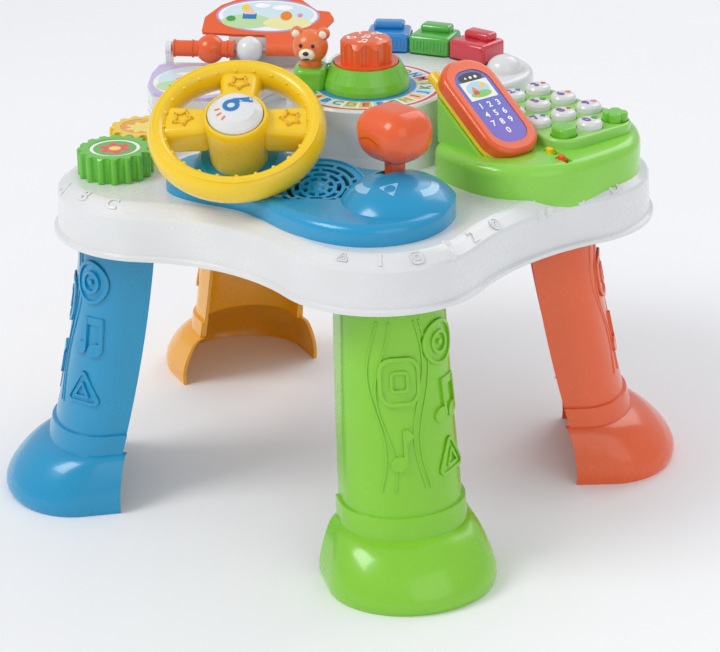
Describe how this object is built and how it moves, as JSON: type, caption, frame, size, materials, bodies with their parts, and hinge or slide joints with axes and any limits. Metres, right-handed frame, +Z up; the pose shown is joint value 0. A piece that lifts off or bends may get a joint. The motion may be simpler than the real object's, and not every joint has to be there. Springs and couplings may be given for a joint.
{
  "type": "activity table",
  "caption": "Low toddler play table: lobed white top on wide curved legs, with steering wheel, shifter, knob gears, turning page, keypad, phone and keys.",
  "frame": {"origin": "on the floor under the middle of the bounding box", "axes": "+Z up, -Y towards the side with the steering wheel, +X towards the phone and keypad"},
  "size_m": [0.4972, 0.4486, 0.3689],
  "materials": {
    "white": "glossy",
    "blue": "glossy",
    "green": "glossy",
    "orange": "glossy",
    "yellow": "glossy",
    "amber": "glossy",
    "red": "glossy",
    "lilac": "satin",
    "print": "satin",
    "screen_print": "satin",
    "steel": "satin",
    "dark": "satin",
    "board": "satin",
    "pad": "satin"
  },
  "bodies": {
    "table": {"table_top": "white", "bottom_cover": "white", "battery_door": "white", "batteries": "dark", "cover_screws": "steel", "circuit_board": "board", "leg_blue": "blue", "leg_green": "green", "leg_orange": "orange", "leg_yellow": "amber", "dashboard": "blue", "speaker": "dark", "shift_pin": "steel", "steering_shaft": "steel", "gear_posts": "white", "turret_drum": "white", "alphabet_disc": "print", "turret_post": "white", "contact_pads": "pad", "dome_white": "white", "book_base": "white", "left_page": "lilac", "spine_pin": "steel", "spine_dome": "white", "phone_base": "green", "keypad_plate": "white"},
    "wheel": {"steering_wheel": "yellow", "horn_pad": "pad"},
    "horn": {"horn_button": "white"},
    "shifter": {"shift_lever": "white", "shift_knob": "orange"},
    "green_gear": {"gear_green": "green", "gear_green_disc": "print"},
    "yellow_gear": {"gear_yellow": "yellow", "gear_yellow_disc": "print"},
    "pointer": {"pointer_ring": "green", "bear_figure": "orange"},
    "flower": {"flower_button": "orange"},
    "page": {"turning_page": "orange"},
    "roller": {"spine_roller": "orange"},
    "blue_key": {"key_blue": "blue"},
    "green_key": {"key_green": "green"},
    "red_key": {"key_red": "red"},
    "phone": {"phone_back": "yellow", "phone_front": "orange", "phone_screen": "screen_print"},
    "clover": {"clover_button": "green"},
    "square": {"square_button": "orange"},
    "yellow_switch": {"switch_yellow": "yellow"},
    "orange_switch": {"switch_orange": "orange"},
    "number_0": {"number_button_0": "white"},
    "number_1": {"number_button_1": "white"},
    "number_2": {"number_button_2": "white"},
    "number_3": {"number_button_3": "white"},
    "number_4": {"number_button_4": "white"},
    "number_5": {"number_button_5": "white"},
    "number_6": {"number_button_6": "white"},
    "number_7": {"number_button_7": "white"},
    "number_8": {"number_button_8": "white"},
    "number_9": {"number_button_9": "white"}
  },
  "joints": [
    {"name": "steering_turn", "type": "hinge", "parent": "table", "child": "wheel", "pos_m": [-0.01701, -0.11667, 0.323], "axis": [0.227, -0.3932, 0.891], "range_deg": [-45, 45]},
    {"name": "horn_press", "type": "slide", "parent": "wheel", "child": "horn", "axis": [-0.227, 0.3932, -0.891], "range_m": [0, 0.0025], "stiffness_N_per_m": 500, "springref_m": -0.001},
    {"name": "shifter_tilt", "type": "hinge", "parent": "table", "child": "shifter", "pos_m": [0.10298, -0.07867, 0.284], "axis": [0.9659, -0.2588, 0], "range_deg": [-16, 16]},
    {"name": "green_gear_spin", "type": "hinge", "parent": "table", "child": "green_gear", "pos_m": [-0.13201, -0.12367, 0.268], "axis": [0, 0, 1], "continuous": true},
    {"name": "yellow_gear_spin", "type": "hinge", "parent": "table", "child": "yellow_gear", "pos_m": [-0.14411, -0.07127, 0.268], "axis": [0, 0, 1], "continuous": true},
    {"name": "pointer_turn", "type": "hinge", "parent": "table", "child": "pointer", "pos_m": [0.00898, 0.02933, 0.32], "axis": [0, 0, 1], "continuous": true},
    {"name": "flower_press", "type": "slide", "parent": "table", "child": "flower", "axis": [0, 0, -1], "range_m": [0, 0.003], "stiffness_N_per_m": 600, "springref_m": -0.002},
    {"name": "page_turn", "type": "hinge", "parent": "table", "child": "page", "pos_m": [-0.17902, 0.07433, 0.309], "axis": [0.9026, 0.4305, 0], "range_deg": [0, 135]},
    {"name": "roller_spin", "type": "hinge", "parent": "table", "child": "roller", "pos_m": [-0.17902, 0.07433, 0.309], "axis": [0.9026, 0.4305, 0], "continuous": true},
    {"name": "blue_key_press", "type": "slide", "parent": "table", "child": "blue_key", "axis": [0, 0, -1], "range_m": [0, 0.003], "stiffness_N_per_m": 500, "springref_m": -0.0015},
    {"name": "green_key_press", "type": "slide", "parent": "table", "child": "green_key", "axis": [0, 0, -1], "range_m": [0, 0.003], "stiffness_N_per_m": 500, "springref_m": -0.0015},
    {"name": "red_key_press", "type": "slide", "parent": "table", "child": "red_key", "axis": [0, 0, -1], "range_m": [0, 0.003], "stiffness_N_per_m": 500, "springref_m": -0.0015},
    {"name": "number_0_press", "type": "slide", "parent": "table", "child": "number_0", "axis": [0, 0, -1], "range_m": [0, 0.002], "stiffness_N_per_m": 300, "springref_m": -0.001},
    {"name": "number_1_press", "type": "slide", "parent": "table", "child": "number_1", "axis": [0, 0, -1], "range_m": [0, 0.002], "stiffness_N_per_m": 300, "springref_m": -0.001},
    {"name": "number_2_press", "type": "slide", "parent": "table", "child": "number_2", "axis": [0, 0, -1], "range_m": [0, 0.002], "stiffness_N_per_m": 300, "springref_m": -0.001},
    {"name": "number_3_press", "type": "slide", "parent": "table", "child": "number_3", "axis": [0, 0, -1], "range_m": [0, 0.002], "stiffness_N_per_m": 300, "springref_m": -0.001},
    {"name": "number_4_press", "type": "slide", "parent": "table", "child": "number_4", "axis": [0, 0, -1], "range_m": [0, 0.002], "stiffness_N_per_m": 300, "springref_m": -0.001},
    {"name": "number_5_press", "type": "slide", "parent": "table", "child": "number_5", "axis": [0, 0, -1], "range_m": [0, 0.002], "stiffness_N_per_m": 300, "springref_m": -0.001},
    {"name": "number_6_press", "type": "slide", "parent": "table", "child": "number_6", "axis": [0, 0, -1], "range_m": [0, 0.002], "stiffness_N_per_m": 300, "springref_m": -0.001},
    {"name": "number_7_press", "type": "slide", "parent": "table", "child": "number_7", "axis": [0, 0, -1], "range_m": [0, 0.002], "stiffness_N_per_m": 300, "springref_m": -0.001},
    {"name": "number_8_press", "type": "slide", "parent": "table", "child": "number_8", "axis": [0, 0, -1], "range_m": [0, 0.002], "stiffness_N_per_m": 300, "springref_m": -0.001},
    {"name": "number_9_press", "type": "slide", "parent": "table", "child": "number_9", "axis": [0, 0, -1], "range_m": [0, 0.002], "stiffness_N_per_m": 300, "springref_m": -0.001},
    {"name": "clover_press", "type": "slide", "parent": "table", "child": "clover", "axis": [0, 0, -1], "range_m": [0, 0.002], "stiffness_N_per_m": 300, "springref_m": -0.001},
    {"name": "square_press", "type": "slide", "parent": "table", "child": "square", "axis": [0, 0, -1], "range_m": [0, 0.002], "stiffness_N_per_m": 300, "springref_m": -0.001},
    {"name": "phone_lift", "type": "slide", "parent": "table", "child": "phone", "axis": [0.5118, -0.1863, 0.8387], "range_m": [0, 0.06]},
    {"name": "yellow_switch_slide", "type": "slide", "parent": "table", "child": "yellow_switch", "axis": [0.9455, -0.3256, 0], "range_m": [0, 0.005]},
    {"name": "orange_switch_slide", "type": "slide", "parent": "table", "child": "orange_switch", "axis": [0.9455, -0.3256, 0], "range_m": [0, 0.005]}
  ],
  "couplings": [
    {"joint": "yellow_gear_spin", "follows": "green_gear_spin", "ratio": -1.1429}
  ]
}
